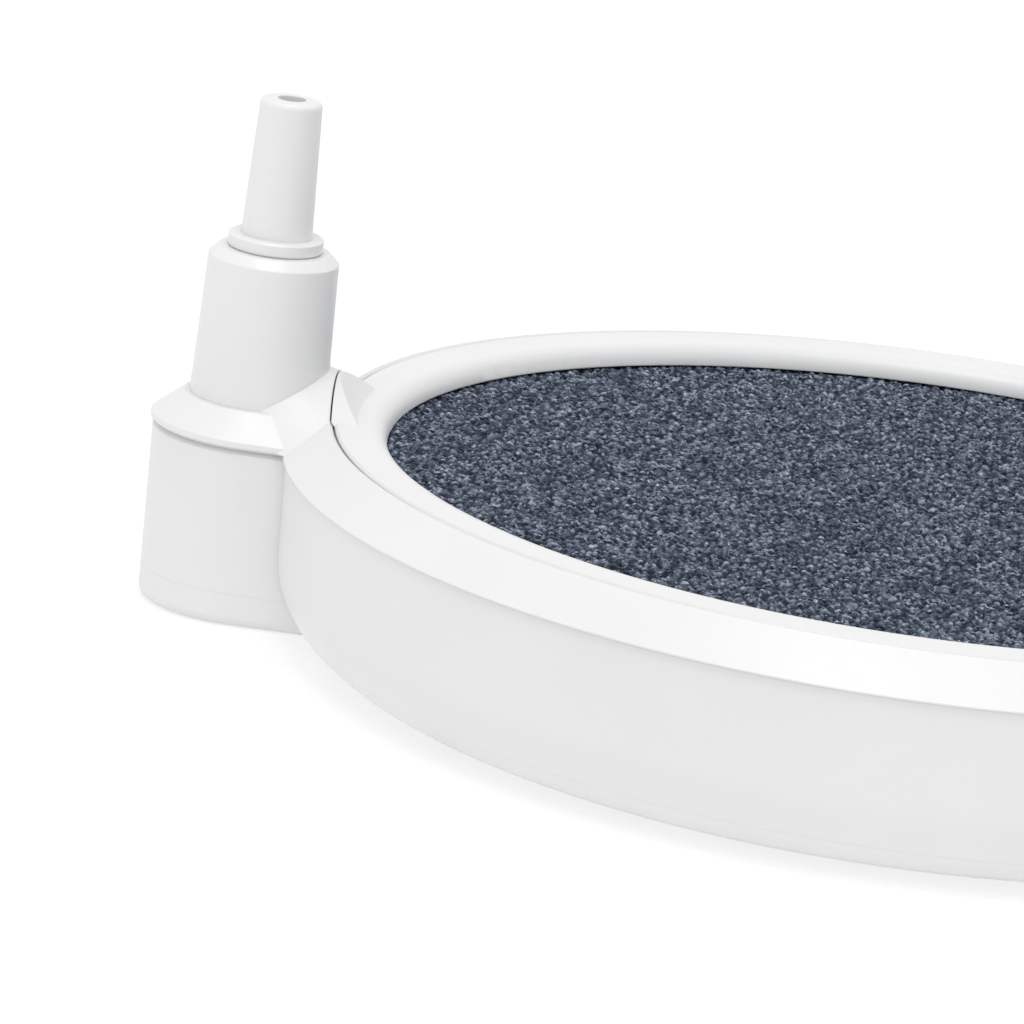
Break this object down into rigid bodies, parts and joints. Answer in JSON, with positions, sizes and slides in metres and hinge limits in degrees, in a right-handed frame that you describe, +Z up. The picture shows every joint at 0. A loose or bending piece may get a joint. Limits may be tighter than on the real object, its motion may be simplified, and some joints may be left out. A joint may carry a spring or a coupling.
{
  "type": "air stone",
  "caption": "Round flat air stone: a porous mineral plate in a shallow white housing, with an upright tapered hose inlet on a side lobe.",
  "frame": {"origin": "centre of the flat underside, on the disc's axis", "axes": "+Z up along the disc's axis; -X towards the hose inlet; +Y completes the right-handed frame"},
  "size_m": [0.1108, 0.1, 0.0406],
  "materials": {
    "housing": "satin moulded white ABS",
    "nozzle": "satin moulded white ABS",
    "stone": "coarse sintered mineral grain, dark blue with pale grains",
    "sealant": "translucent silicone",
    "adhesive": "cured clear adhesive"
  },
  "bodies": {
    "root": {"lower_shell": "housing", "top_cover": "housing", "retaining_ring": "housing", "hose_nozzle": "nozzle", "stone_plate": "stone", "plate_sealant": "sealant", "seam_bond_bead": "adhesive", "ring_bond_bead": "adhesive", "nozzle_bond_bead": "adhesive"}
  },
  "joints": []
}
